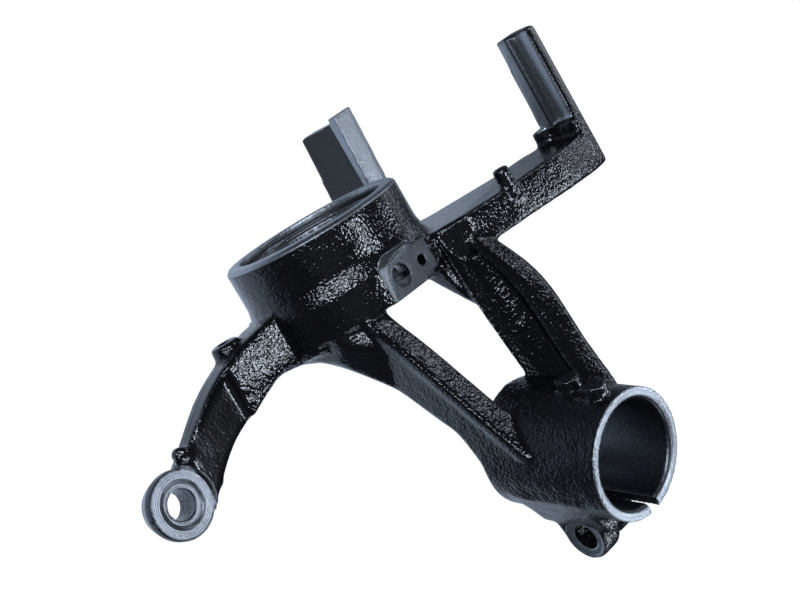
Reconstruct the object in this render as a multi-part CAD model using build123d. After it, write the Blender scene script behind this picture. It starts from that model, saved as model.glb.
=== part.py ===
"""Front steering knuckle with an integral brake caliper carrier, one iron casting.

Millimetres. The origin is the centre of the bearing bore at its outboard face.
+Y points outboard along the wheel axis, +Z up, +X towards the brake caliper.
"""

import math
import os

from build123d import *

os.makedirs("parts", exist_ok=True)

# ---- bearing housing, around the wheel axis ----
BEARING_BORE_R = 37.0
HOUSING_R = 44.5
SEAT_DEPTH = 38.0
SHOULDER_R = 33.0
SHAFT_SPACE_Y = -65.0
HOUSING_BACK_Y = -45.0
BODY_TOP_Y = -30.0
BODY_R = 46.6
RIM_CHAMFER = 1.6
SNAP_GROOVE_Y = -4.0
SNAP_GROOVE_WIDTH = 1.8
SNAP_GROOVE_DEPTH = 1.2

# ---- caliper carrier: its own axes run towards the caliper and across the gap ----
CARRIER_TILT = 12.6
CARRIER_TOP_Y = -29.6
CARRIER_BACK_Y = -47.0
FINGER_BACK_Y = -53.0
FINGER_FACE = 124.0
FINGER_DEPTH = 17.5
FINGER_BACK = FINGER_FACE + FINGER_DEPTH
UPPER_RAIL = 55.0
UPPER_WIDTH = 19.0
UPPER_TIP_Y = 25.0
LOWER_RAIL = -58.0
LOWER_WIDTH = 29.0
LOWER_TIP_Y = 27.5
RAIL_STEP_Y = 3.0
RAIL_INSET = 4.0
COVE_R = 9.0
STOP_BLOCK_HEIGHT = 6.5
STOP_BLOCK_WIDTH = 5.5

NUB_REACH = 58.5
NUB_ACROSS = 67.0
NUB_R = 4.2
NUB_HEIGHT = 8.0

# ---- strut clamp: a split tube that leans back with the strut ----
CLAMP_X = 0.45
CLAMP_Y = -142.3
CLAMP_Z = 118.5
CLAMP_LEAN = 15.03
CLAMP_BORE_R = 23.5
CLAMP_WALL = 5.0
CLAMP_LENGTH = 63.0
CLAMP_CHAMFER = 1.9
SLIT_WIDTH = 5.4
LUG_THICKNESS = 11.8
FAR_LUG_THICKNESS = 8.0
FAR_LUG_END_R = 8.8
PINCH_THREAD_R = 4.25
SLIT_OFFSET = 0.8
CLAMP_BOSSES = [(2.0, -27.0), (-1.0, -10.5)]
BOSS_R = 5.5
BOSS_HEIGHT = 4.5
PINCH_DROP = 32.0
PINCH_REACH = 39.0
PINCH_BOLT_R = 6.0
LUG_END_R = 11.2
LUG_SPOT_R = 9.8
LUG_SPOT_DEPTH = 0.6

# ---- dished leg, on the caliper side ----
DISH_DEPTH = 8.0
DISH_WALL = 6.0

# ---- strut web and its flange, on the tie-rod side ----
WEB_X = -27.0
WEB_THICKNESS = 9.0
WEB_END_AWAY = 11.4
WEB_END_DOWN = 33.2
WEB_FOOT_AWAY = -11.7
WEB_FOOT_DOWN = 40.9
FLANGE_OVERHANG = 1.0
FLANGE_WIDTH = 13.0
FLANGE_DEPTH = 6.5
FLANGE_RIB_WIDTH = 4.6
GROOVE_WIDTH = 3.0
GROOVE_DEPTH = 2.2

# ---- tie-rod arm ----
TIE_ROD_X = -127.4
TIE_ROD_Y = -68.1
TIE_ROD_TOP_Z = -3.1
EYE_R = 15.5
EYE_BORE_R = 6.8
EYE_THICKNESS = 15.5
EYE_RIM = 5.0
EYE_FOOT_R = 12.0
EYE_SPOT_R = 10.2
EYE_SPOT_DEPTH = 0.8
ARM_BOTTOM_Z = -13.0
ARM_HEIGHT = 13.5
ARM_POCKET = 2.5
ARM_ROOT_RISE = 1.0

# ---- wheel-speed sensor pad ----
PAD_Z = 45.0
PAD_THICKNESS = 17.0
SENSOR_X = -2.4
SENSOR_Y = -35.9
SENSOR_R = 5.0
SENSOR_SCREW_PITCH = 14.0
SENSOR_SCREW_R = 2.5
SENSOR_SCREW_DEPTH = 8.0
SENSOR_DEPTH = 16.0

# ---- ball-joint boss, under the bearing ----
BALL_X = 4.0
BALL_Y = -50.0
BALL_TOP_Z = -54.0
BALL_BOTTOM_Z = -82.0
BALL_R = 14.5
BALL_BORE_R = 9.0
BALL_BORE_DEPTH = 26.0
BALL_SLIT = 3.0
BALL_LUG_REACH = 24.0
BALL_LUG_HALF_WIDTH = 12.0
BALL_LUG_TOP_Z = -58.0
BALL_BOLT_R = 4.25
BALL_BOLT_REACH = 13.5

# ---- splash-shield screw boss ----
SHIELD_X = -67.0
SHIELD_Z = -8.0
SHIELD_FACE_Y = -22.8
SHIELD_R = 7.0
SHIELD_SCREW_R = 2.5
SHIELD_SCREW_DEPTH = 14.0


# How far the cutting tools run past the faces they open.
RUN_OUT = 5.0


def closed_face(points):
    """Flat face with straight sides between corner points."""
    return make_face(Polyline(*points, close=True))


def prism_x(points, low, high):
    """Solid from a (y, z) outline between two x positions."""
    return extrude(Plane.YZ.offset(low) * closed_face(points), high - low, dir=(1, 0, 0))


def prism_y(points, low, high):
    """Solid from an (x, z) outline between two y positions."""
    return extrude(Plane.XZ.offset(-low) * closed_face(points), high - low, dir=(0, 1, 0))


def prism_z(points, low, high):
    """Solid from an (x, y) outline between two z positions."""
    return extrude(Plane.XY.offset(low) * closed_face(points), high - low, dir=(0, 0, 1))


def rod_y(x, z, radius, low, high):
    """Round bar along the wheel axis direction."""
    return extrude(Plane.XZ.offset(-low) * Pos(x, z) * Circle(radius), high - low, dir=(0, 1, 0))


def rod_z(x, y, radius, low, high):
    """Round bar along the vertical."""
    return extrude(Plane.XY.offset(low) * Pos(x, y) * Circle(radius), high - low, dir=(0, 0, 1))


def carrier_point(reach, across):
    """Position (x, z) of a point given along and across the caliper carrier."""
    tilt = math.radians(CARRIER_TILT)
    x = reach * math.cos(tilt) + across * math.sin(tilt)
    z = across * math.cos(tilt) - reach * math.sin(tilt)
    return (x, z)


def carrier_points(pairs):
    """List of (x, z) positions from (reach, across) pairs."""
    return [carrier_point(reach, across) for reach, across in pairs]


CLAMP = Plane(
    origin=(CLAMP_X, CLAMP_Y, CLAMP_Z),
    x_dir=(1, 0, 0),
    z_dir=(0, -math.sin(math.radians(CLAMP_LEAN)), math.cos(math.radians(CLAMP_LEAN))),
)
CLAMP_R = CLAMP_BORE_R + CLAMP_WALL


def housing():
    """Bearing ring that flares a little into the body of the knuckle."""
    profile = [
        (0.0, 0.0),
        (HOUSING_R - RIM_CHAMFER, 0.0),
        (HOUSING_R, -RIM_CHAMFER),
        (HOUSING_R, BODY_TOP_Y + 9.0),
        (BODY_R, BODY_TOP_Y + 1.5),
        (BODY_R, HOUSING_BACK_Y),
        (0.0, HOUSING_BACK_Y),
    ]
    return revolve(Plane.XY * closed_face(profile), Axis.Y)


def carrier_direction(reach, across):
    """World direction of a step along and across the carrier."""
    x, z = carrier_point(reach, across)
    return Vector(x, 0, z)


def carrier_plate():
    """Two-legged plate between the body and the caliper fingers."""
    outer = UPPER_RAIL + UPPER_WIDTH
    outline = [
        (6.0, 38.0),
        (17.0, 49.0),
        (28.0, 60.0),
        (52.0, 67.5),
        (96.0, outer),
        (FINGER_FACE + 10.5, outer),
        (FINGER_BACK, outer - 6.0),
        (FINGER_BACK, UPPER_RAIL - STOP_BLOCK_WIDTH),
        (FINGER_FACE, UPPER_RAIL - STOP_BLOCK_WIDTH),
        (111.0, 45.0),
        (92.0, 40.0),
        (77.0, 26.0),
        (64.0, 13.0),
        (60.0, 0.0),
        (64.0, -14.0),
        (80.0, -32.0),
        (100.0, -48.0),
        (FINGER_FACE, LOWER_RAIL),
        (FINGER_BACK, LOWER_RAIL),
        (FINGER_BACK, LOWER_RAIL - LOWER_WIDTH),
        (FINGER_FACE, LOWER_RAIL - LOWER_WIDTH - 2.0),
        (96.0, -84.0),
        (60.0, -66.0),
        (24.0, -44.0),
        (0.0, -40.0),
    ]
    plate = prism_y(carrier_points(outline), FINGER_BACK_Y, CARRIER_TOP_Y)
    side = [
        (-10.0, CARRIER_TOP_Y),
        (FINGER_BACK + 5.0, CARRIER_TOP_Y),
        (FINGER_BACK + 5.0, FINGER_BACK_Y),
        (FINGER_FACE, FINGER_BACK_Y),
        (60.0, CARRIER_BACK_Y - 1.6),
        (-10.0, CARRIER_BACK_Y + 1.0),
    ]
    across = Plane(origin=(0, 0, 0), x_dir=carrier_direction(1, 0), z_dir=carrier_direction(0, 1))
    thickness = extrude(across * closed_face(side), FINGER_BACK, both=True)
    return (plate & thickness) - upper_leg_slope()


def upper_leg_slope():
    """Space above the upper leg, whose top falls gently towards its outer edge."""
    fall_along = 0.0186
    fall_across = 0.114
    start = Vector(0, -30.0, 0) + carrier_direction(28.0, 61.0)
    along = carrier_direction(fall_along, 0)
    across = carrier_direction(0, fall_across)
    slope = Plane(origin=start, z_dir=Vector(0, 1, 0) + along + across)
    return extrude(slope * Rectangle(4 * FINGER_BACK, 4 * FINGER_BACK), FINGER_DEPTH)


def tapered_finger(foot, tip, tip_y):
    """Finger that narrows from its foot outline to its tip outline."""
    foot_face = Plane.XZ.offset(-FINGER_BACK_Y) * closed_face(carrier_points(foot))
    tip_face = Plane.XZ.offset(-tip_y) * closed_face(carrier_points(tip))
    return loft([foot_face, tip_face])


def upper_finger():
    """Finger above the disc, with a flat rail and a cast cove beside it."""
    outer = UPPER_RAIL + UPPER_WIDTH
    foot = [
        (FINGER_FACE, UPPER_RAIL - 1.0),
        (FINGER_BACK, UPPER_RAIL - 1.0),
        (FINGER_BACK, outer - 6.0),
        (FINGER_FACE + 10.5, outer),
        (FINGER_FACE, outer),
    ]
    tip = [
        (FINGER_FACE, UPPER_RAIL + 1.0),
        (FINGER_BACK - 1.0, UPPER_RAIL + 1.0),
        (FINGER_BACK - 1.0, outer - 6.0),
        (FINGER_FACE + 10.0, outer),
        (FINGER_FACE, outer),
    ]
    block = [
        (FINGER_FACE - 2.0, UPPER_RAIL - STOP_BLOCK_WIDTH),
        (FINGER_BACK, UPPER_RAIL - STOP_BLOCK_WIDTH),
        (FINGER_BACK, UPPER_RAIL + 2.0),
        (FINGER_FACE - 2.0, UPPER_RAIL + 2.0),
    ]
    stop = prism_y(
        carrier_points(block), CARRIER_TOP_Y - 1.0, CARRIER_TOP_Y + STOP_BLOCK_HEIGHT
    )
    cove_x, cove_z = carrier_point(FINGER_FACE - COVE_R + 3.0, UPPER_RAIL + 13.5)
    cove = rod_y(cove_x, cove_z, COVE_R, CARRIER_TOP_Y + 5.0, UPPER_TIP_Y + 5.0)
    return tapered_finger(foot, tip, UPPER_TIP_Y) + stop - cove


def lower_finger():
    """Wide finger below the disc, with a raised machined rail on its gap side."""
    foot = [
        (FINGER_FACE, LOWER_RAIL - RAIL_INSET),
        (FINGER_BACK - 3.0, LOWER_RAIL - RAIL_INSET),
        (FINGER_BACK - 3.0, LOWER_RAIL - LOWER_WIDTH),
        (FINGER_FACE, LOWER_RAIL - LOWER_WIDTH - 5.0),
    ]
    tip = [
        (FINGER_FACE, LOWER_RAIL - RAIL_INSET + 1.5),
        (FINGER_BACK - 4.0, LOWER_RAIL - RAIL_INSET + 1.5),
        (FINGER_BACK - 4.0, LOWER_RAIL - LOWER_WIDTH + 3.0),
        (FINGER_FACE, LOWER_RAIL - LOWER_WIDTH + 2.0),
    ]
    rail_foot = [
        (FINGER_FACE, LOWER_RAIL - 2.0),
        (FINGER_BACK - 5.0, LOWER_RAIL - 2.0),
        (FINGER_BACK, LOWER_RAIL - 3.0),
        (FINGER_BACK, LOWER_RAIL - 12.0),
        (FINGER_FACE, LOWER_RAIL - 12.0),
    ]
    rail_tip = [
        (FINGER_FACE, LOWER_RAIL + 2.0),
        (FINGER_BACK - 5.0, LOWER_RAIL + 2.0),
        (FINGER_BACK, LOWER_RAIL + 1.0),
        (FINGER_BACK, LOWER_RAIL - 3.0),
        (FINGER_FACE, LOWER_RAIL - 3.0),
    ]
    body = tapered_finger(foot, tip, LOWER_TIP_Y)
    rail = tapered_finger(rail_foot, rail_tip, LOWER_TIP_Y + RAIL_STEP_Y)
    return body + rail


SENSOR_PAD_OUTLINE = [
    (-12.0, -45.0),
    (-9.6, -34.0),
    (-8.0, -30.6),
    (-5.0, -28.0),
    (-1.0, -26.6),
    (8.0, -26.0),
    (19.0, -28.0),
    (21.0, -31.0),
    (22.0, -37.0),
    (20.0, -42.5),
    (11.6, -43.5),
    (8.4, -45.0),
]


def sensor_pad():
    """Block under the flat seat of the wheel-speed sensor."""
    return prism_z(SENSOR_PAD_OUTLINE, PAD_Z - PAD_THICKNESS, PAD_Z)


WEB_RIDGE = [(-28.0, 39.0), (-44.3, 38.3), (-59.4, 48.4), (-84.0, 64.8)]
WEB_BELLY = [(-104.4, 52), (-94.3, 43.2), (-72.8, 24), (-64, 11.5), (-59.7, 0), (-57, -22)]


def ridge_line(drop):
    """Upper edge of the strut web, lowered by a drop, up to the clamp."""
    points = WEB_RIDGE + [clamp_side(WEB_END_AWAY, WEB_END_DOWN)]
    return Spline(*[(y, z - drop) for y, z in points])


def clamp_side(away, down):
    """Position (y, z) of a point given away from the strut and down from the clamp's top."""
    lean = math.radians(CLAMP_LEAN)
    y = CLAMP_Y + away * math.cos(lean) + down * math.sin(lean)
    z = CLAMP_Z + away * math.sin(lean) - down * math.cos(lean)
    return (y, z)


def strut_web():
    """Deep thin web on the tie-rod side, up to the strut clamp."""
    ridge = ridge_line(0.0)
    end = clamp_side(WEB_END_AWAY, WEB_END_DOWN)
    foot = clamp_side(WEB_FOOT_AWAY, WEB_FOOT_DOWN)
    heel = [clamp_side(-10.7, 52.53), clamp_side(-3.55, 60.66), clamp_side(7.26, 66.66)]
    lower_belly = Spline(foot, *heel, WEB_BELLY[0])
    upper_belly = Spline(*WEB_BELLY)
    corner = (WEB_RIDGE[0][0], WEB_BELLY[-1][1])
    outline = ridge + Line(end, foot) + lower_belly + upper_belly
    outline = outline + Line(WEB_BELLY[-1], corner) + Line(corner, WEB_RIDGE[0])
    return extrude(Plane.YZ.offset(WEB_X) * make_face(outline), WEB_THICKNESS, dir=(1, 0, 0))


def ridge_band(top_drop, depth):
    """Flat (y, z) band that follows the web's upper edge."""
    upper = ridge_line(top_drop)
    lower = ridge_line(top_drop + depth)
    outline = upper + Line(upper @ 1, lower @ 1) + lower + Line(lower @ 0, upper @ 0)
    return make_face(outline)


def strut_web_flange():
    """Flange along the web's upper edge, with a groove between its rib and its flat."""
    low = WEB_X - FLANGE_OVERHANG
    flange = extrude(Plane.YZ.offset(low) * ridge_band(0.0, FLANGE_DEPTH), FLANGE_WIDTH, dir=(1, 0, 0))
    groove_x = low + FLANGE_RIB_WIDTH
    groove = Plane.YZ.offset(groove_x) * ridge_band(-10.0, 10.0 + GROOVE_DEPTH)
    return flange - extrude(groove, GROOVE_WIDTH, dir=(1, 0, 0))


def arch_web():
    """Curved web that joins the tie-rod arm to the strut web behind the bearing."""
    arch = Spline((-58, -48.5), (-42, -52.6), (-31, -54.6), (-21, -59), (-12, -64.6))
    outline = arch + Line((-12, -64.6), (-12, -30)) + Line((-12, -30), (-58, -30))
    outline = outline + Line((-58, -30), (-58, -48.5))
    slant = Vector(-5.0, 4.7, 40.0)
    web = extrude(Plane.XY.offset(-22) * make_face(outline), slant.length, dir=slant.normalized())
    low = prism_z([(-70, -70), (0, -70), (0, -31), (-70, -31)], -22, ARM_BOTTOM_Z + ARM_HEIGHT)
    return web & (low + rod_y(0, 0, BODY_R, -70, -31))


def strut_web_root():
    """Root of the strut web, which spreads sideways to clear the drive-shaft joint."""
    outer = [(-44, -14), (-51.5, -12), (-53.3, 5), (-56, 18), (-50, 27), (-44, 27)]
    inner = [(-44, -30), (-56, -30), (-59.7, 1.7), (-84.4, 34.9), (-60, 44), (-44, 36)]
    outer_face = Plane.YZ.offset(-38) * closed_face(outer)
    inner_face = Plane.YZ.offset(-24) * closed_face(inner)
    return loft([outer_face, inner_face], ruled=True)


def dished_section(y, near, far, root_depth, rib_depth):
    """Cross-section of the dished leg at one y, from its near edge to its ribbed edge."""
    width = math.dist(near, far)
    along = ((far[0] - near[0]) / width, (far[1] - near[1]) / width)
    away = (along[1], -along[0])

    def at(distance, depth):
        x = near[0] + along[0] * distance + away[0] * depth
        z = near[1] + along[1] * distance + away[1] * depth
        return (x, z)

    corners = [
        at(0.0, 0.0),
        at(0.14 * width, 0.55 * DISH_DEPTH),
        at(0.36 * width, DISH_DEPTH),
        at(0.58 * width, 0.92 * DISH_DEPTH),
        at(width - 12.0, 1.5),
        at(width - 9.5, -0.8),
        at(width - 7.0, -0.6),
        at(width, 5.0),
        at(width, rib_depth),
        at(width - 8.0, rib_depth + 1.0),
        at(0.5 * width, DISH_DEPTH + DISH_WALL),
        at(0.0, root_depth),
    ]
    return Plane.XZ.offset(-y) * closed_face(corners)


def dished_leg():
    """Broad dished leg on the caliper side, up to the strut clamp."""
    sections = [
        dished_section(-31.0, (25.0, 44.0), (48.5, 47.5), 14.0, 12.0),
        dished_section(-47.5, (22.0, 49.0), (45.0, 60.0), 14.0, 12.0),
        dished_section(-68.0, (18.0, 54.5), (38.0, 77.5), 10.0, 12.0),
        dished_section(-86.0, (13.5, 62.5), (32.0, 87.0), 10.0, 12.0),
        dished_section(-105.0, (7.0, 74.0), (23.5, 98.0), 10.0, 12.0),
        dished_section(CLAMP_Y + 18.3, (1.0, CLAMP_Z - 31.5), (14.0, CLAMP_Z - 8.5), 10.0, 11.0),
    ]
    gusset = prism_x([(-30, 42), (-45, 27), (-52, 34), (-66, 50), (-66, 51), (-47, 44)], 20, 30)
    return loft(sections) + gusset


def strut_clamp():
    """Split tube with two pinch lugs on its inboard side and two cast bosses outboard."""
    tube = Pos(0, 0, -CLAMP_LENGTH / 2) * Cylinder(CLAMP_R, CLAMP_LENGTH)
    lug_side = [
        (-12.0, -12.0),
        (-PINCH_REACH, -PINCH_DROP + LUG_END_R),
        (-PINCH_REACH, -PINCH_DROP),
        (-PINCH_REACH - LUG_END_R + 5.0, -PINCH_DROP - 9.3),
        (-33.0, -47.0),
        (-23.5, -52.0),
        (-12.0, -57.0),
    ]
    lugs_low = SLIT_OFFSET - SLIT_WIDTH / 2 - LUG_THICKNESS
    lugs_high = SLIT_OFFSET + SLIT_WIDTH / 2 + FAR_LUG_THICKNESS
    near_lug = prism_x(lug_side, lugs_low, SLIT_OFFSET)
    near_end = Plane.YZ.offset(lugs_low) * Pos(-PINCH_REACH, -PINCH_DROP) * Circle(LUG_END_R)
    near_lug = near_lug + extrude(near_end, SLIT_OFFSET - lugs_low, dir=(1, 0, 0))
    far_side = [
        (-12.0, -12.0),
        (-PINCH_REACH, -PINCH_DROP + FAR_LUG_END_R),
        (-PINCH_REACH, -PINCH_DROP - FAR_LUG_END_R),
        (-12.0, -54.0),
    ]
    far_lug = prism_x(far_side, SLIT_OFFSET, lugs_high)
    far_end = Plane.YZ.offset(SLIT_OFFSET) * Pos(-PINCH_REACH, -PINCH_DROP) * Circle(FAR_LUG_END_R)
    far_lug = far_lug + extrude(far_end, lugs_high - SLIT_OFFSET, dir=(1, 0, 0))
    cheek = [(-CLAMP_R, 2), (-CLAMP_R + 1.5, -11), (lugs_low, -33), (0, -33), (0, 2)]
    cheeks = prism_z(cheek, -53.0, -15.0)
    bosses = Part()
    for across, drop in CLAMP_BOSSES:
        stub = Pos(across, CLAMP_R, drop) * Rot(90, 0, 0) * Cylinder(BOSS_R, 2 * BOSS_HEIGHT)
        bosses = bosses + stub
    return CLAMP * (tube + near_lug + far_lug + cheeks + bosses)


def by_eye(towards_body, outboard):
    """Position (x, y) of a point given from the centre of the tie-rod eye."""
    return (TIE_ROD_X + towards_body, TIE_ROD_Y + outboard)


def tie_rod_arm():
    """Curved arm with a raised outboard flange and a round eye at its end."""
    outboard = Spline(
        (-44, -23.5),
        (-56.7, -24.8),
        (-73.5, -29.1),
        (-91.8, -36.5),
        by_eye(20.5, 21.9),
        by_eye(7.8, 13.6),
    )
    inboard = Spline(
        by_eye(9.4, -11.9),
        by_eye(19.7, -4.3),
        (-88.1, -59.6),
        (-72, -54.2),
        (-58.6, -49.5),
        (-44, -49.5),
    )
    outline = outboard + Line(outboard @ 1, inboard @ 0) + inboard
    outline = outline + Line(inboard @ 1, outboard @ 0)
    floor = Plane.XY.offset(ARM_BOTTOM_Z)
    web = extrude(floor * make_face(outline), ARM_HEIGHT - ARM_POCKET, dir=(0, 0, 1))
    inner = Spline(
        (-44, -29.5),
        (-58.5, -28.6),
        (-77.5, -32.6),
        (-95.6, -40.0),
        by_eye(18.0, 19.9),
        by_eye(14.9, 17.6),
    )
    flange_outline = outboard + Line(outboard @ 1, inner @ 1) + inner
    flange_outline = flange_outline + Line(inner @ 0, outboard @ 0)
    flange = extrude(floor * make_face(flange_outline), ARM_HEIGHT, dir=(0, 0, 1))
    arm = web + flange
    eye_top = Plane.XY.offset(TIE_ROD_TOP_Z) * Pos(TIE_ROD_X, TIE_ROD_Y) * Circle(EYE_R)
    eye_rim = Plane.XY.offset(TIE_ROD_TOP_Z - EYE_RIM) * Pos(TIE_ROD_X, TIE_ROD_Y) * Circle(EYE_R)
    eye_foot_z = TIE_ROD_TOP_Z - EYE_THICKNESS
    eye_foot = Plane.XY.offset(eye_foot_z) * Pos(TIE_ROD_X, TIE_ROD_Y) * Circle(EYE_FOOT_R)
    eye = loft([eye_rim, eye_top]) + loft([eye_foot, eye_rim])
    upper_stub = rod_z(*by_eye(11.4, 17.6), 3.6, -7.0, -1.0)
    lower_stub = rod_z(*by_eye(20.9, -2.4), 2.6, -9.0, -3.5)
    return arm + eye + upper_stub + lower_stub


def arm_root():
    """Foot of the arm on the body, level with its web, with a gusset under it."""
    outline = [(-78, -30.5), (-62, -26.5), (-44, -23), (-38, -47), (-58, -48.5), (-78, -56)]
    foot = prism_z(outline, ARM_BOTTOM_Z, ARM_BOTTOM_Z + ARM_HEIGHT + ARM_ROOT_RISE)
    gusset = prism_y([(-30, -36), (-46, -27), (-70, ARM_BOTTOM_Z), (-44, -5), (-30, -5)], -47, -31)
    return foot + gusset


def eye_face():
    """Space above the flat machined face of the eye, square at its corner with the arm."""
    corner = [
        (TIE_ROD_X - EYE_R, TIE_ROD_Y),
        (TIE_ROD_X - 4.0, TIE_ROD_Y + EYE_R),
        (TIE_ROD_X + EYE_R - 2.5, TIE_ROD_Y + EYE_R - 1.0),
        (TIE_ROD_X + EYE_R, TIE_ROD_Y),
        (TIE_ROD_X, TIE_ROD_Y - EYE_R),
    ]
    flat = prism_z(corner, TIE_ROD_TOP_Z, TIE_ROD_TOP_Z + ARM_HEIGHT)
    flat = flat + rod_z(TIE_ROD_X, TIE_ROD_Y, EYE_R, TIE_ROD_TOP_Z, TIE_ROD_TOP_Z + ARM_HEIGHT)
    spot_z = TIE_ROD_TOP_Z - EYE_SPOT_DEPTH
    return flat + rod_z(TIE_ROD_X, TIE_ROD_Y, EYE_SPOT_R, spot_z, TIE_ROD_TOP_Z)


def shield_boss():
    """Screw boss for the brake splash shield."""
    return rod_y(SHIELD_X, SHIELD_Z, SHIELD_R, -45.0, SHIELD_FACE_Y)


def ball_joint_boss():
    """Split boss that holds the ball-joint stud, with its pinch lugs and its neck to the body."""
    boss = rod_z(BALL_X, BALL_Y, BALL_R, BALL_BOTTOM_Z, BALL_TOP_Z)
    neck = prism_y([(-26, -30), (-12, -72), (20, -72), (34, -30)], HOUSING_BACK_Y, -32.0)
    lug_side = [
        (BALL_X, BALL_LUG_TOP_Z),
        (BALL_X + BALL_LUG_REACH - 4.0, BALL_LUG_TOP_Z),
        (BALL_X + BALL_LUG_REACH, BALL_LUG_TOP_Z - 4.0),
        (BALL_X + BALL_LUG_REACH, BALL_BOTTOM_Z + 4.0),
        (BALL_X + BALL_LUG_REACH - 4.0, BALL_BOTTOM_Z),
        (BALL_X, BALL_BOTTOM_Z),
    ]
    lugs = prism_y(lug_side, BALL_Y - BALL_LUG_HALF_WIDTH, BALL_Y + BALL_LUG_HALF_WIDTH)
    return boss + neck + lugs


def ball_joint_cuts():
    """Stud bore, slit and pinch-bolt hole of the ball-joint boss."""
    low = BALL_BOTTOM_Z - RUN_OUT
    bore = rod_z(BALL_X, BALL_Y, BALL_BORE_R, low, BALL_BOTTOM_Z + BALL_BORE_DEPTH)
    slit_side = [
        (BALL_X, BALL_TOP_Z - 2.0),
        (BALL_X + BALL_LUG_REACH + RUN_OUT, BALL_TOP_Z - 2.0),
        (BALL_X + BALL_LUG_REACH + RUN_OUT, low),
        (BALL_X, low),
    ]
    slit = prism_y(slit_side, BALL_Y - BALL_SLIT / 2, BALL_Y + BALL_SLIT / 2)
    bolt_z = (BALL_LUG_TOP_Z + BALL_BOTTOM_Z) / 2
    reach = 2.5 * BALL_LUG_HALF_WIDTH
    bolt = rod_y(BALL_X + BALL_BOLT_REACH, bolt_z, BALL_BOLT_R, BALL_Y - reach, BALL_Y + reach)
    return bore + slit + bolt


def carrier_nub():
    """Short cast stub on the outer edge of the upper carrier leg."""
    x, z = carrier_point(NUB_REACH, NUB_ACROSS)
    return rod_y(x, z, NUB_R, CARRIER_TOP_Y - 8.0, CARRIER_TOP_Y + NUB_HEIGHT)


def knuckle():
    """Whole casting with its machined bores and faces."""
    body = housing() + carrier_plate() + upper_finger() + lower_finger()
    body = body + sensor_pad() + strut_web() + strut_web_flange() + dished_leg()
    body = body + strut_clamp() + tie_rod_arm() + arm_root() + shield_boss() + ball_joint_boss()
    body = body + arch_web() + strut_web_root() + carrier_nub()
    body = body - prism_z(SENSOR_PAD_OUTLINE, PAD_Z, PAD_Z + PAD_THICKNESS)
    bore = rod_y(0, 0, BEARING_BORE_R, -SEAT_DEPTH, RUN_OUT)
    shoulder = rod_y(0, 0, SHOULDER_R, SHAFT_SPACE_Y, 0.0)
    groove_low = SNAP_GROOVE_Y - SNAP_GROOVE_WIDTH
    groove = rod_y(0, 0, BEARING_BORE_R + SNAP_GROOVE_DEPTH, groove_low, SNAP_GROOVE_Y)
    body = body - bore - shoulder - groove
    strut_bore = Pos(0, 0, -CLAMP_LENGTH / 2) * Cylinder(CLAMP_BORE_R, CLAMP_LENGTH + 8 * RUN_OUT)
    lead_in = Cone(CLAMP_BORE_R, CLAMP_BORE_R + CLAMP_CHAMFER, CLAMP_CHAMFER)
    strut_bore = CLAMP * (strut_bore + Pos(0, 0, -CLAMP_CHAMFER / 2) * lead_in)
    slit_depth = 2 * (PINCH_REACH + 1.0)
    slit = Box(SLIT_WIDTH, slit_depth, CLAMP_LENGTH + 4 * RUN_OUT)
    slit = CLAMP * Pos(SLIT_OFFSET, -slit_depth / 2, -CLAMP_LENGTH / 2) * slit
    pinch_axis = CLAMP * Pos(SLIT_OFFSET, -PINCH_REACH, -PINCH_DROP) * Rot(0, 90, 0)
    bolt_length = 5 * LUG_THICKNESS
    pinch = pinch_axis * Pos(0, 0, -bolt_length / 2) * Cylinder(PINCH_BOLT_R, bolt_length)
    thread = pinch_axis * Cylinder(PINCH_THREAD_R, bolt_length)
    lug_face = SLIT_WIDTH / 2 + LUG_THICKNESS - LUG_SPOT_DEPTH
    spot = pinch_axis * Pos(0, 0, -lug_face - RUN_OUT) * Cylinder(LUG_SPOT_R, 2 * RUN_OUT)
    body = body - strut_bore - slit - pinch - thread - spot
    eye_low = TIE_ROD_TOP_Z - EYE_THICKNESS - RUN_OUT
    eye_bore = rod_z(TIE_ROD_X, TIE_ROD_Y, EYE_BORE_R, eye_low, TIE_ROD_TOP_Z + RUN_OUT)
    sensor = rod_z(SENSOR_X, SENSOR_Y, SENSOR_R, PAD_Z - SENSOR_DEPTH, PAD_Z + RUN_OUT)
    screw_x = SENSOR_X + SENSOR_SCREW_PITCH
    screw = rod_z(screw_x, SENSOR_Y, SENSOR_SCREW_R, PAD_Z - SENSOR_SCREW_DEPTH, PAD_Z + RUN_OUT)
    body = body - eye_face() - eye_bore - sensor - screw
    shield = rod_y(SHIELD_X, SHIELD_Z, SHIELD_SCREW_R, SHIELD_FACE_Y - SHIELD_SCREW_DEPTH, 0.0)
    return body - shield - ball_joint_cuts()


result = knuckle()
print("solids", len(result.solids()), "volume", round(result.volume), result.bounding_box())
export_step(result, "parts/steering_knuckle.step")
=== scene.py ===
"""Dresses the steering knuckle: a softened casting in gloss black paint, with bare machined faces.

Metres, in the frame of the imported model: origin at the bearing bore's outboard face,
+Y outboard along the wheel axis, +Z up, +X towards the brake caliper.
"""

import math

import bpy
import numpy as np
from mathutils import Matrix, Vector

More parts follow.
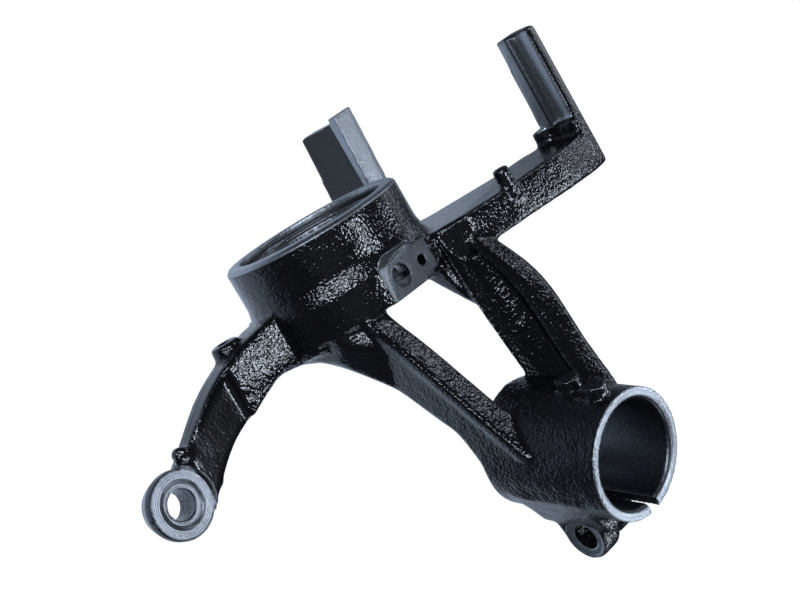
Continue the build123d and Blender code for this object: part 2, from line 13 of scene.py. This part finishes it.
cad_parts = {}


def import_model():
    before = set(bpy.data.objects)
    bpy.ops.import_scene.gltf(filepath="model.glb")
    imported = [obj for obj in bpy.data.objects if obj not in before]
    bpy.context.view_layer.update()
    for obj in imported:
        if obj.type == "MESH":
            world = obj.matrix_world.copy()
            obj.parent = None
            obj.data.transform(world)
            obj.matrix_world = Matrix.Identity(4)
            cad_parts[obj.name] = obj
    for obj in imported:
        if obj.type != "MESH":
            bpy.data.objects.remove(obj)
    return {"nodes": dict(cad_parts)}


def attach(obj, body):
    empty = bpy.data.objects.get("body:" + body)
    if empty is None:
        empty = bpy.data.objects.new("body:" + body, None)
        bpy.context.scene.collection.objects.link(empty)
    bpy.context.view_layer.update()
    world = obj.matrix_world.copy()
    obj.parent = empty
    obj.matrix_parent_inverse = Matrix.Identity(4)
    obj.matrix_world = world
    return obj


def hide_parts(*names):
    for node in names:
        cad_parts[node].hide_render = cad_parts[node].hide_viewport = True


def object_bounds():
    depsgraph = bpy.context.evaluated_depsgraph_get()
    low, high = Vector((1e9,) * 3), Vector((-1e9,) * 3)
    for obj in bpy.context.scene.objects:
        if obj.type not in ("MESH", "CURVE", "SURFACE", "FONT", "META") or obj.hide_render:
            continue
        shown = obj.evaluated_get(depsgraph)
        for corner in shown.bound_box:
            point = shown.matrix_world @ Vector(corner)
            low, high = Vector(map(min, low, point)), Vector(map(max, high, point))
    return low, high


MM = 0.001

# ---- sizes of the casting that its finishes follow, in millimetres ----
BEARING_BORE_R = 37.0
HOUSING_R = 44.5
RIM_CHAMFER = 1.6
SEAT_DEPTH = 38.0
STRUT_CENTRE = (0.45, -142.3, 118.5)
STRUT_LEAN = math.radians(15.03)
STRUT_BORE_R = 23.5
STRUT_LENGTH = 63.0
PINCH_REACH = 39.0
PINCH_DROP = 32.0
LUG_FACE_X = -13.1
LUG_SPOT_R = 9.8
EYE_X, EYE_Y, EYE_Z = -127.4, -68.1, -3.1
EYE_R = 15.5
EYE_MACHINED_DROP = 5.0
PAD_Z = 45.0
CARRIER_TILT = math.radians(12.6)
FINGER_FACE = 124.0
FINGER_ROOT_Y = -24.0
UPPER_RAIL = 55.0
LOWER_RAIL = -58.0
COVE_REACH = 118.0
COVE_GAP = 68.5
COVE_R = 9.0

# ---- zones whose edges a cutter has left sharp, in millimetres; pairs are from and to ----
RING_ZONE_DEPTH = 3.0
BEARING_ZONE_MARGIN = 2.0
SEAT_ZONE_END = 8.0
CLAMP_ZONE_MARGIN = 1.5
CLAMP_ZONE_END = 1.0
CLAMP_TOP_WALL = 7.0
CLAMP_TOP_DEPTH = 2.5
SLIT_X = 0.8
SLIT_HALF_WIDTH = 3.6
SLIT_AWAY = (-34.0, -10.0)
LUG_ZONE_MARGIN = 1.0
LUG_HALF_WIDTH = 16.0
EYE_ZONE_MARGIN = 1.5
EYE_HOLE_ZONE_R = 8.5
PAD_ZONE_DEPTH = 1.5
PAD_ZONE_X = (-15.0, 26.0)
PAD_ZONE_Y = (-47.0, -22.0)
FINGER_ZONE_DEPTH = 3.0
LOWER_RAIL_ZONE = (LOWER_RAIL - 10.0, LOWER_RAIL + 4.0)
UPPER_RAIL_ZONE = (UPPER_RAIL - 4.0, UPPER_RAIL + 9.0)

# ---- cast forms that stand out of the solid's plain shape, in millimetres ----
BOSS_FOOT = STRUT_BORE_R + 5.0
BOSS_HALF_WIDTH = 9.0
BOSS_ALONG = (-34.0, -4.0)
BOSS_ZONE_FOOT = 0.5
BOSS_CRISPNESS = 0.75
BOSS_RISE = 0.35
ROOT_TOP_Z = (-1.0, 3.5)
ROOT_Y = (-52.0, -20.0)
ROOT_SLOPE = 0.16
ROOT_START_X = -76.0
ROOT_END_X = -40.0
ROOT_RUN = 32.0
ROOT_EDGE_Y = -38.0
ROOT_EDGE_RUN = 10.0
ROOT_EDGE_DROP = 1.2

# ---- how the mesh is softened ----
WELD_GAP = 0.01 * MM
VOXEL = 0.68 * MM
ZONE_BLUR_ROUNDS = 4
SOFTEN_ROUNDS = 30
SOFTEN_STEP = 0.6
PLUMP_STEP = -0.35
PLUMP_EVERY = 4
TRIANGLE_TARGET = 190000

# ---- edges of the bare iron, in millimetres past the sizes above; pairs are from and to ----
EDGE_BLUR = 0.35
RING_FACE_DEPTH = RIM_CHAMFER + 0.3
RING_FACE_MARGIN = 1.0
SNAP_GROOVE_MARGIN = 1.9
SEAT_END_MARGIN = 0.6
SEAT_START_DEPTH = RIM_CHAMFER + 0.8
SEAT_START_BLUR = 0.5
CLAMP_FACE_DEPTH = 0.6
CLAMP_FACE_WALL = 6.0
CLAMP_BORE_MARGIN = 0.8
LUG_FACE_MARGIN = 0.4
LUG_SPOT_MARGIN = 0.3
EYE_MARGIN = 1.0
EYE_SIDE_MARGIN = 0.8
EYE_SPOT_EDGE = 4.8
PAD_DEPTH = 0.35
PAD_BLUR = 0.2
PAD_MIDDLE_X = 2.5
PAD_HALF_WIDTH = 15.5
PAD_Y = (-46.0, -24.0)
LOWER_RAIL_ROOT_Y = -27.0
LOWER_RAIL_GAP = (LOWER_RAIL - 3.6, LOWER_RAIL + 4.0)
UPPER_RAIL_GAP = (UPPER_RAIL - 2.0, UPPER_RAIL + 8.5)
RAIL_DEPTH = 3.0
COVE_MARGIN = 0.5
GROOVE_GAP = (UPPER_RAIL + 6.0, UPPER_RAIL + 11.5)
GROOVE_BLUR = 4.0
GROOVE_DEPTH = 6.0

# ---- smoother paint: the upper finger's outer side and the arm's pocket, in millimetres ----
FINGER_SIDE_Y = -22.0
FINGER_SIDE_Y_BLUR = 8.0
FINGER_SIDE_REACH = FINGER_FACE + 0.5
FINGER_SIDE_BLUR = 1.0
POCKET_X = (-114.0, -79.0)
POCKET_X_BLURS = (5.0, 4.0)
POCKET_FLOOR_Z = -7.0
POCKET_FLANGE_Y = -30.0

# ---- painted shade: how much darker the iron is painted in the bores, on the eye and beside the cove, and how much darker the sensor pad is, 0 to 1 ----
SEAT_PAINTED_SHADE = 0.5
CLAMP_BORE_PAINTED_SHADE = 0.7
EYE_PAINTED_SHADE = 0.5
EYE_SPOT_PAINTED_SHADE = 0.6
EYE_SIDE_PAINTED_SHADE = 0.85
GROOVE_PAINTED_SHADE = 0.9
# how far the sensor pad's iron is blended towards a darker colour
PAD_DARKENING = 0.85

# ---- colours ----
PAINT_DARK = (0.0025, 0.0028, 0.0034, 1)
PAINT_LIGHT = (0.005, 0.0056, 0.007, 1)
IRON_DARK = (0.16, 0.175, 0.195, 1)
IRON_LIGHT = (0.42, 0.44, 0.47, 1)
PAD_IRON = (0.03, 0.035, 0.042, 1)
# dark iron that the painted shade blends towards
SHADED_IRON = (0.02, 0.022, 0.026, 1)
LAMP_BLUE = (0.80, 0.88, 1.0)
PAPER = (0.9, 0.9, 0.9, 1)
PAPER_MIRRORED = (0.66, 0.79, 1.0, 1)
PAPER_FAR = (0.66, 0.80, 1.0, 1)
WHITE = (1, 1, 1, 1)

# ---- grain and gloss; noise scales are per millimetre ----
GRAIN_SCALE, GRAIN_DETAIL = 0.72, 1.0
LUMP_SCALE, LUMP_DETAIL = 0.16, 2.0
SHAKE_SCALE, SHAKE_DETAIL = 0.09, 1.0
BUMP_HEIGHT = 1.0 * MM
SAND_GRAIN, SAND_LUMPS = 0.36, 0.4
SMOOTHED_SHARE = 0.8
IRON_GRAIN, IRON_RINGS = 0.05, 0.04
RING_PITCH = 6.3
RING_SHAKE = 0.8
RING_TINT = 0.35
PAINT_ROUGHNESS, PAINT_ROUGHNESS_SPAN = 0.09, 0.08
IRON_ROUGHNESS, IRON_ROUGHNESS_SPAN = 0.34, 0.12
# roughness taken off the iron where the painted shade darkens it
SHADED_IRON_GLOSS = 0.06

# ---- the studio, in metres ----
KNUCKLE_CENTRE = (0.0, -0.07, 0.02)
LAMP_DISTANCE = 1.4
SHEET_HALF = 6.0
SHEET_WHITE = 1.06
SHEET_PLAIN_SHARE = 0.92
POOL_CENTRE = (-0.06, -0.06)
POOL_MIDDLE = 0.12
POOL_EDGE = 0.42
POOL_STRENGTH = 1.0
FAR_STRENGTH = 0.10
POOL_CUT_SLANT = 0.9
POOL_CUT = -0.31
POOL_CUT_BLUR = 0.07
ROOM_STRENGTH = 0.04
CAMERA_PLACE = (-0.42777, 0.07352, 0.59601)
CAMERA_RIGHT = (0.6385, -0.4949, 0.5895)
CAMERA_UP = (0.4881, 0.8525, 0.1870)
CAMERA_LENS = 72.0
CAMERA_SENSOR = 36.0
CAMERA_CLIP_END = 50.0

# Each lamp: name, direction from the knuckle, direction of its long side, its two sides, brightness.
LAMPS = (
    ("key", (0.23, -0.17, 0.96), (0, 1, 0), (0.44, 0.24), 26.0),
    ("front_strip", (-0.58, 0.42, 0.70), (0.8, 0.0, 0.6), (1.30, 0.14), 24.0),
    ("ridge_light", (0.60, 0.64, 0.48), (0, 0, 1), (0.30, 0.30), 6.0),
    ("side_light", (0.82, -0.32, 0.47), (0, 1, 0), (0.42, 0.26), 13.0),
    ("clamp_light", (0.58, -0.58, 0.58), (0, 1, 0), (0.40, 0.40), 4.0),
    ("soft_top", (-0.60, -0.20, 0.78), (0, 1, 0), (1.20, 1.00), 0.12),
    ("back_light", (-0.10, -0.97, 0.22), (1, 0, 0), (1.40, 0.50), 2.5),
    ("back_strip", (0.45, -0.80, 0.40), (0, 0, 1), (0.70, 0.12), 12.0),
    ("caliper_side_light", (0.96, 0.20, 0.18), (0, 1, 0), (1.00, 0.40), 2.0),
)


# ---------------------------------------------------------------- shader maths


class Signal:
    """A shader socket that adds a Math node for each operator used on it."""

    def __init__(self, graph, socket):
        self.graph = graph
        self.socket = socket

    def maths(self, operation, *others):
        """Math node on this socket and up to two more values."""
        values = dict(enumerate((self, *others)))
        made = self.graph.node("ShaderNodeMath", {"operation": operation}, values)
        return Signal(self.graph, made.outputs[0])

    def __add__(self, other):
        return self.maths("ADD", other)

    def __radd__(self, other):
        return self.maths("ADD", other)

    def __sub__(self, other):
        return self.maths("SUBTRACT", other)

    def __rsub__(self, other):
        return self.maths("MULTIPLY", -1.0).maths("ADD", other)

    def __mul__(self, other):
        return self.maths("MULTIPLY", other)

    def __rmul__(self, other):
        return self.maths("MULTIPLY", other)

    def __truediv__(self, other):
        return self.maths("DIVIDE", other)

    def __abs__(self):
        return self.maths("ABSOLUTE")

    def root(self):
        """Square root."""
        return self.maths("SQRT")

    def clamped(self):
        """Held between 0 and 1."""
        return self.maths("MINIMUM", 1.0).maths("MAXIMUM", 0.0)

    def below(self, limit, blur=EDGE_BLUR):
        """1 below a limit and 0 above it, over a short ramp."""
        return ((limit - self) / blur + 0.5).clamped()

    def above(self, limit, blur=EDGE_BLUR):
        """1 above a limit and 0 below it, over a short ramp."""
        return ((self - limit) / blur + 0.5).clamped()

    def between(self, ends):
        """1 between two limits, over short ramps."""
        return self.above(ends[0]) * self.below(ends[1])

    def either(self, *others):
        """The largest of some masks."""
        largest = self
        for other in others:
            largest = largest.maths("MAXIMUM", other)
        return largest


def distance(first, second):
    """Length of a flat vector, for two signals."""
    return (first * first + second * second).root()


class Graph:
    """The node tree of a material or of the world, and short ways to add nodes to it."""

    def __init__(self, owner):
        owner.use_nodes = True
        self.tree = owner.node_tree
        self.tree.nodes.clear()

    def node(self, kind, settings=None, inputs=None):
        """New node of a kind, with its settings first and then its sockets' values or links."""
        made = self.tree.nodes.new(kind)
        for key, value in (settings or {}).items():
            setattr(made, key, value)
        for key, value in (inputs or {}).items():
            self.join(made.inputs[key], value)
        return made

    def join(self, target, value):
        """Links a signal or a socket to an input, or sets a plain value on it."""
        if isinstance(value, Signal):
            self.tree.links.new(value.socket, target)
        elif isinstance(value, bpy.types.NodeSocket):
            self.tree.links.new(value, target)
        else:
            target.default_value = value

    def signals(self, node, *names):
        """Wraps a node's outputs for maths."""
        return [Signal(self, node.outputs[name]) for name in names]

    def blend(self, factor, first, second):
        """Colour between two colours."""
        mix = self.node("ShaderNodeMix", {"data_type": "RGBA"}, {0: factor, 6: first, 7: second})
        return mix.outputs[2]

    def noise(self, place, scale, detail):
        """Height of a noise, 0 to 1."""
        node = self.node("ShaderNodeTexNoise", None, {"Vector": place, "Scale": scale, "Detail": detail})
        return Signal(self, node.outputs[0])

    def emission(self, colour, strength):
        """Plain light of one colour."""
        return self.node("ShaderNodeEmission", None, {"Color": colour, "Strength": strength}).outputs[0]

    def mix_shaders(self, factor, first, second):
        """Shader between two shaders."""
        return self.node("ShaderNodeMixShader", None, {0: factor, 1: first, 2: second}).outputs[0]


# ---------------------------------------------------------------- the casting's own axes


def strut_axes(x, y, z):
    """Places in the strut clamp's axes: across, away from the strut, and along it."""
    sine, cosine = math.sin(STRUT_LEAN), math.cos(STRUT_LEAN)
    across, back, up = x - STRUT_CENTRE[0], y - STRUT_CENTRE[1], z - STRUT_CENTRE[2]
    return across, back * cosine + up * sine, up * cosine - back * sine


def carrier_axes(x, z):
    """Places in the caliper carrier's axes: reach towards the caliper, and across the disc gap."""
    sine, cosine = math.sin(CARRIER_TILT), math.cos(CARRIER_TILT)
    return x * cosine - z * sine, x * sine + z * cosine


# ---------------------------------------------------------------- the casting mesh


def voxel_copy(source, name):
    """Copy of a node's mesh, rebuilt as an even skin."""
    piece = bpy.data.objects.new(name, source.data.copy())
    bpy.context.scene.collection.objects.link(piece)
    weld = piece.modifiers.new("weld", "WELD")
    weld.merge_threshold = WELD_GAP
    skin = piece.modifiers.new("skin", "REMESH")
    skin.mode = "VOXEL"
    skin.voxel_size = VOXEL
    apply_modifiers(piece)
    return piece


def apply_modifiers(piece):
    """Makes the evaluated mesh the piece's own mesh."""
    graph = bpy.context.evaluated_depsgraph_get()
    mesh = bpy.data.meshes.new_from_object(piece.evaluated_get(graph))
    piece.modifiers.clear()
    piece.data = mesh


def vertex_places(mesh):
    """Places of a mesh's vertices, a row for each."""
    places = np.empty(len(mesh.vertices) * 3)
    mesh.vertices.foreach_get("co", places)
    return places.reshape(-1, 3)


def move_vertices(mesh, places):
    """Sets the places of a mesh's vertices."""
    mesh.vertices.foreach_set("co", places.reshape(-1))
    mesh.update()


def within(values, ends):
    """True between two limits."""
    return (values > ends[0]) & (values < ends[1])


def crisp_weight(points):
    """1 where a cutter has left a sharp edge and 0 on the cast skin, for places in millimetres."""
    x, y, z = points.T
    wheel_r = np.hypot(x, z)
    ring = (y > -RING_ZONE_DEPTH) & (wheel_r < HOUSING_R + BEARING_ZONE_MARGIN)
    seat = (wheel_r < BEARING_BORE_R + BEARING_ZONE_MARGIN) & (y > -SEAT_DEPTH - SEAT_ZONE_END)
    across, away, along = strut_axes(x, y, z)
    strut_r = np.hypot(across, away)
    clamp = (strut_r < STRUT_BORE_R + CLAMP_ZONE_MARGIN) & (along > -STRUT_LENGTH - CLAMP_ZONE_END)
    clamp_top = (strut_r < STRUT_BORE_R + CLAMP_TOP_WALL) & (along > -CLAMP_TOP_DEPTH)
    slit = (np.abs(across - SLIT_X) < SLIT_HALF_WIDTH) & within(away, SLIT_AWAY)
    pinch_r = np.hypot(away + PINCH_REACH, along + PINCH_DROP)
    lug = (pinch_r < LUG_SPOT_R + LUG_ZONE_MARGIN) & (np.abs(across) < LUG_HALF_WIDTH)
    eye_r = np.hypot(x - EYE_X, y - EYE_Y)
    eye = (eye_r < EYE_R + EYE_ZONE_MARGIN) & (z > EYE_Z - EYE_MACHINED_DROP)
    eye_hole = eye_r < EYE_HOLE_ZONE_R
    pad = (z > PAD_Z - PAD_ZONE_DEPTH) & within(y, PAD_ZONE_Y) & within(x, PAD_ZONE_X)
    reach, gap = carrier_axes(x, z)
    rails = within(gap, LOWER_RAIL_ZONE) | within(gap, UPPER_RAIL_ZONE)
    rails = rails & (y > FINGER_ROOT_Y) & (reach > FINGER_FACE - FINGER_ZONE_DEPTH)
    crisp = ring | seat | clamp | clamp_top | slit | lug | eye | eye_hole | pad | rails
    bosses = boss_zone(across, away, along, BOSS_FOOT + BOSS_ZONE_FOOT)
    return np.maximum(crisp.astype(float), BOSS_CRISPNESS * bosses)


def boss_zone(across, away, along, foot):
    """True on the clamp's two bosses, past a distance from the strut's axis."""
    return (away > foot) & (np.abs(across) < BOSS_HALF_WIDTH) & within(along, BOSS_ALONG)


def raise_arm_root(points):
    """Tips the top of the arm's foot up towards the body, and drops its inboard edge."""
    x, y, z = points.T
    top = within(z, ROOT_TOP_Z) & within(y, ROOT_Y)
    rise = ROOT_SLOPE * np.clip(x - ROOT_START_X, 0.0, ROOT_RUN) * (x < ROOT_END_X)
    rise = rise - ROOT_EDGE_DROP * np.clip((ROOT_EDGE_Y - y) / ROOT_EDGE_RUN, 0.0, 1.0) ** 2
    raised = points.copy()
    raised[:, 2] = z + np.where(top, rise, 0.0)
    return raised


def raise_bosses(points):
    """Stands the clamp's two bosses a little prouder of its tube."""
    across, away, along = strut_axes(*points.T)
    rise = np.where(boss_zone(across, away, along, BOSS_FOOT), BOSS_RISE * (away - BOSS_FOOT), 0.0)
    raised = points.copy()
    raised[:, 1] += rise * math.cos(STRUT_LEAN)
    raised[:, 2] += rise * math.sin(STRUT_LEAN)
    return raised


def soften(piece):
    """Rounds the cast edges and fills the cast corners, and leaves the machined ones."""
    mesh = piece.data
    points = vertex_places(mesh)
    ends = np.empty(len(mesh.edges) * 2, dtype=np.int64)
    mesh.edges.foreach_get("vertices", ends)
    edges = ends[0::2], ends[1::2]
    free = 1.0 - crisp_weight(points / MM)
    for _ in range(ZONE_BLUR_ROUNDS):
        free = 0.5 * free + 0.5 * neighbour_mean(free, edges)
    points = raise_bosses(raise_arm_root(points / MM)) * MM
    for turn in range(SOFTEN_ROUNDS):
        # Every few rounds one swells the skin again, so that softening doesn't shrink it.
        step = PLUMP_STEP if turn % PLUMP_EVERY == PLUMP_EVERY - 1 else SOFTEN_STEP
        mean = np.stack([neighbour_mean(column, edges) for column in points.T], axis=1)
        points = points + step * free[:, None] * (mean - points)
    move_vertices(mesh, points)


def neighbour_mean(values, edges):
    """Mean of each vertex's neighbours."""
    first, second = edges
    count = len(values)
    total = np.bincount(first, values[second], count) + np.bincount(second, values[first], count)
    neighbours = np.bincount(first, minlength=count) + np.bincount(second, minlength=count)
    return total / np.maximum(neighbours, 1)


def lighten(piece):
    """Takes out triangles where the skin is flat."""
    triangles = sum(len(face.vertices) - 2 for face in piece.data.polygons)
    thin = piece.modifiers.new("thin", "DECIMATE")
    thin.ratio = min(1.0, TRIANGLE_TARGET / triangles)
    apply_modifiers(piece)


def casting(frame, low, high):
    """The knuckle's visible skin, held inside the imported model's box."""
    piece = voxel_copy(frame["nodes"]["steering_knuckle"], "knuckle_casting")
    soften(piece)
    lighten(piece)
    move_vertices(piece.data, np.clip(vertex_places(piece.data), np.array(low), np.array(high)))
    for polygon in piece.data.polygons:
        polygon.use_smooth = True
    piece.data.materials.clear()
    piece.data.materials.append(cast_and_machined_iron())
    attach(piece, "root")
    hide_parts("steering_knuckle")


# ---------------------------------------------------------------- finishes


def cast_and_machined_iron():
    """Gloss black paint over sand-cast grain, and bare iron where a cutter has been."""
    material = bpy.data.materials.new("black_paint_and_bare_iron")
    graph = Graph(material)
    place = graph.node("ShaderNodeTexCoord").outputs["Object"]
    scaled = graph.node("ShaderNodeVectorMath", {"operation": "SCALE"}, {0: place, "Scale": 1.0 / MM})
    millimetres = scaled.outputs[0]
    x, y, z = graph.signals(graph.node("ShaderNodeSeparateXYZ", None, {0: millimetres}), 0, 1, 2)
    wheel_r, hub, seat_shade = bearing_masks(x, y, z)
    strut_r, clamp, lug, clamp_bore_shade = clamp_masks(x, y, z)
    eye_r, eye, eye_shade = eye_masks(x, y, z)
    rails, groove_shade, finger_side = finger_masks(x, y, z)
    pad = z.above(PAD_Z - PAD_DEPTH, PAD_BLUR) * y.between(PAD_Y)
    pad = pad * abs(x - PAD_MIDDLE_X).below(PAD_HALF_WIDTH)
    bare = hub.either(clamp, lug, eye, pad, rails)
    # painted shade: darker iron in the bearing bore, the clamp bore, on the eye and beside the cove
    painted_shade = seat_shade.either(clamp_bore_shade, eye_shade, groove_shade)
    smooth = finger_side.either(arm_pocket_mask(x, y, z))
    turned_r = wheel_r * hub + strut_r * clamp + eye_r * eye

    grain = graph.noise(millimetres, GRAIN_SCALE, GRAIN_DETAIL)
    lumps = graph.noise(millimetres, LUMP_SCALE, LUMP_DETAIL)
    shake = graph.noise(millimetres, SHAKE_SCALE, SHAKE_DETAIL)
    rings = (turned_r * RING_PITCH + shake * RING_SHAKE).maths("SINE") * 0.5 + 0.5

    paint_colour = graph.blend(grain, PAINT_DARK, PAINT_LIGHT)
    iron_colour = graph.blend(grain, IRON_DARK, IRON_LIGHT)
    iron_colour = graph.blend(rings * RING_TINT, iron_colour, IRON_LIGHT)
    # the sensor pad's iron is blended darker
    iron_colour = graph.blend(pad * PAD_DARKENING, iron_colour, PAD_IRON)
    # the painted shade blends the iron darker there
    iron_colour = graph.blend(painted_shade, iron_colour, SHADED_IRON)
    paint_roughness = PAINT_ROUGHNESS + PAINT_ROUGHNESS_SPAN * lumps
    iron_roughness = IRON_ROUGHNESS + IRON_ROUGHNESS_SPAN * grain - painted_shade * SHADED_IRON_GLOSS
    sand = (1.0 - bare) * (1.0 - smooth * SMOOTHED_SHARE)
    height = sand * (grain * SAND_GRAIN + lumps * SAND_LUMPS)
    height = height + bare * (IRON_GRAIN * grain + IRON_RINGS * rings)
    bump = graph.node("ShaderNodeBump", None, {"Strength": 1.0, "Distance": BUMP_HEIGHT, "Height": height})
    shader = graph.node(
        "ShaderNodeBsdfPrincipled",
        None,
        {
            "Base Color": graph.blend(bare, paint_colour, iron_colour),
            "Metallic": bare,
            "Roughness": paint_roughness * (1.0 - bare) + iron_roughness * bare,
            "Normal": bump.outputs[0],
        },
    )
    graph.node("ShaderNodeOutputMaterial", None, {"Surface": shader.outputs[0]})
    return material


def bearing_masks(x, y, z):
    """Distance from the wheel axis, the ring's bare face and bore, and the painted shade inside the bore."""
    wheel_r = distance(x, z)
    face = y.above(-RING_FACE_DEPTH) * wheel_r.below(HOUSING_R + RING_FACE_MARGIN)
    seat = wheel_r.below(BEARING_BORE_R + SNAP_GROOVE_MARGIN) * y.above(-SEAT_DEPTH - SEAT_END_MARGIN)
    inside = seat * y.below(-SEAT_START_DEPTH, SEAT_START_BLUR)
    return wheel_r, face.either(seat), inside * SEAT_PAINTED_SHADE


def clamp_masks(x, y, z):
    """Distance from the strut's axis, the clamp's bare iron, the lug's spot face, and the painted shade in
    the bore.
    """
    across, away, along = strut_axes(x, y, z)
    strut_r = distance(across, away)
    face = along.above(-CLAMP_FACE_DEPTH) * strut_r.below(STRUT_BORE_R + CLAMP_FACE_WALL)
    bore = strut_r.below(STRUT_BORE_R + CLAMP_BORE_MARGIN) * along.above(-STRUT_LENGTH + CLAMP_BORE_MARGIN)
    pinch_r = distance(away + PINCH_REACH, along + PINCH_DROP)
    lug = across.below(LUG_FACE_X + LUG_FACE_MARGIN) * pinch_r.below(LUG_SPOT_R + LUG_SPOT_MARGIN)
    return strut_r, face.either(bore), lug, bore * CLAMP_BORE_PAINTED_SHADE


def eye_masks(x, y, z):
    """Distance from the tie-rod eye's axis, the eye's bare iron, and the painted shade on the eye's top,
    spot face and side.
    """
    eye_r = distance(x - EYE_X, y - EYE_Y)
    eye = z.above(EYE_Z - EYE_MACHINED_DROP) * eye_r.below(EYE_R + EYE_MARGIN)
    side = eye * eye_r.above(EYE_R - EYE_SIDE_MARGIN)
    spot = eye * eye_r.below(EYE_R - EYE_SPOT_EDGE)
    # painted shade on the eye's top, its spot face and its side
    return eye_r, eye, (eye * EYE_PAINTED_SHADE).either(spot * EYE_SPOT_PAINTED_SHADE, side * EYE_SIDE_PAINTED_SHADE)


def finger_masks(x, y, z):
    """The fingers' bare rails and cove, the painted shade in the groove beside the cove, and the upper
    finger's outer side.
    """
    reach, gap = carrier_axes(x, z)
    on_finger = y.above(FINGER_ROOT_Y)
    lower = y.above(LOWER_RAIL_ROOT_Y) * gap.between(LOWER_RAIL_GAP)
    upper = on_finger * gap.between(UPPER_RAIL_GAP)
    rails = lower.either(upper) * reach.above(FINGER_FACE - RAIL_DEPTH)
    cove = distance(reach - COVE_REACH, gap - COVE_GAP).below(COVE_R + COVE_MARGIN) * on_finger
    # painted shade in the groove beside the cove
    groove = gap.above(GROOVE_GAP[0]) * gap.below(GROOVE_GAP[1], GROOVE_BLUR)
    groove = groove * reach.above(COVE_REACH - GROOVE_DEPTH) * on_finger
    side = y.above(FINGER_SIDE_Y, FINGER_SIDE_Y_BLUR) * reach.above(FINGER_SIDE_REACH, FINGER_SIDE_BLUR)
    return rails.either(cove), groove * GROOVE_PAINTED_SHADE, side * gap.above(UPPER_RAIL)


def arm_pocket_mask(x, y, z):
    """1 on the smoother floor of the tie-rod arm's pocket."""
    eye_end = x.above(POCKET_X[0], POCKET_X_BLURS[0])
    root_end = x.below(POCKET_X[1], POCKET_X_BLURS[1])
    return root_end * eye_end * z.above(POCKET_FLOOR_Z) * y.below(POCKET_FLANGE_Y)


# ---------------------------------------------------------------- studio


def add_lamp(name, towards, long_way, size, brightness):
    """Rectangular lamp in a direction from the knuckle, facing it, with its long side along another."""
    towards = Vector(towards).normalized()
    side = Vector(long_way)
    side = (side - side.dot(towards) * towards).normalized()
    data = bpy.data.lights.new(name, "AREA")
    data.shape = "RECTANGLE"
    data.size, data.size_y = size
    data.energy = brightness * math.pi * size[0] * size[1]
    data.color = LAMP_BLUE
    lamp = bpy.data.objects.new(name, data)
    bpy.context.scene.collection.objects.link(lamp)
    turned = Matrix((side, towards.cross(side), towards)).transposed().to_4x4()
    turned.translation = Vector(KNUCKLE_CENTRE) + towards * LAMP_DISTANCE
    lamp.matrix_world = turned


def white_sheet(low):
    """White paper under the knuckle, plain white to the camera but for the knuckle's shadow."""
    half = SHEET_HALF
    corners = [(-half, -half, low), (half, -half, low), (half, half, low), (-half, half, low)]
    mesh = bpy.data.meshes.new("paper")
    mesh.from_pydata(corners, [], [(0, 1, 2, 3)])
    floor = bpy.data.objects.new("paper", mesh)
    bpy.context.scene.collection.objects.link(floor)
    mesh.materials.append(white_paper(low))


def white_paper(low):
    """White to the camera, and to gloss a cool white pool with one straight edge."""
    material = bpy.data.materials.new("white_paper")
    graph = Graph(material)
    place = graph.node("ShaderNodeTexCoord").outputs["Object"]
    ends = {0: place, 1: (*POOL_CENTRE, low)}
    apart = graph.node("ShaderNodeVectorMath", {"operation": "DISTANCE"}, ends)
    (from_pool,) = graph.signals(apart, "Value")
    x, y = graph.signals(graph.node("ShaderNodeSeparateXYZ", None, {0: place}), 0, 1)
    fade = from_pool.above((POOL_MIDDLE + POOL_EDGE) / 2, POOL_EDGE - POOL_MIDDLE)
    fade = fade.either((x + POOL_CUT_SLANT * y).below(POOL_CUT, POOL_CUT_BLUR))
    near = graph.emission(PAPER_MIRRORED, POOL_STRENGTH)
    far = graph.emission(PAPER_FAR, FAR_STRENGTH)
    pool = graph.mix_shaders(fade, near, far)
    path = graph.node("ShaderNodeLightPath")
    seen, glossy, through = graph.signals(path, "Is Camera Ray", "Is Glossy Ray", "Is Transmission Ray")
    diffuse = graph.node("ShaderNodeBsdfDiffuse", None, {"Color": PAPER})
    lit = graph.mix_shaders(seen * SHEET_PLAIN_SHARE, diffuse.outputs[0], graph.emission(WHITE, SHEET_WHITE))
    surface = graph.mix_shaders(glossy.either(through), lit, pool)
    graph.node("ShaderNodeOutputMaterial", None, {"Surface": surface})
    return material


def studio_room():
    """Dim room above the paper, white to the camera."""
    world = bpy.data.worlds.new("room")
    bpy.context.scene.world = world
    graph = Graph(world)
    seen = graph.node("ShaderNodeLightPath").outputs["Is Camera Ray"]
    dim_light = {"Color": (*LAMP_BLUE, 1), "Strength": ROOM_STRENGTH}
    dim = graph.node("ShaderNodeBackground", None, dim_light)
    white = graph.node("ShaderNodeBackground", None, {"Color": WHITE, "Strength": 1.0})
    surface = graph.mix_shaders(seen, dim.outputs[0], white.outputs[0])
    graph.node("ShaderNodeOutputWorld", None, {"Surface": surface})


def add_camera():
    """Camera above the tie-rod side, looking down across the bearing ring."""
    right, up = Vector(CAMERA_RIGHT), Vector(CAMERA_UP)
    back = right.cross(up).normalized()
    up = back.cross(right).normalized()
    right = up.cross(back).normalized()
    data = bpy.data.cameras.new("camera")
    data.sensor_width = CAMERA_SENSOR
    data.lens = CAMERA_LENS
    data.clip_end = CAMERA_CLIP_END
    camera = bpy.data.objects.new("camera", data)
    bpy.context.scene.collection.objects.link(camera)
    turned = Matrix((right, up, back)).transposed().to_4x4()
    turned.translation = Vector(CAMERA_PLACE)
    camera.matrix_world = turned
    bpy.context.scene.camera = camera


def main():
    """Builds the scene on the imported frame."""
    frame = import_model()
    low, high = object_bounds()
    casting(frame, low, high)
    white_sheet(low[2])
    studio_room()
    for lamp in LAMPS:
        add_lamp(*lamp)
    add_camera()
    bpy.context.scene.view_settings.view_transform = "Standard"


main()
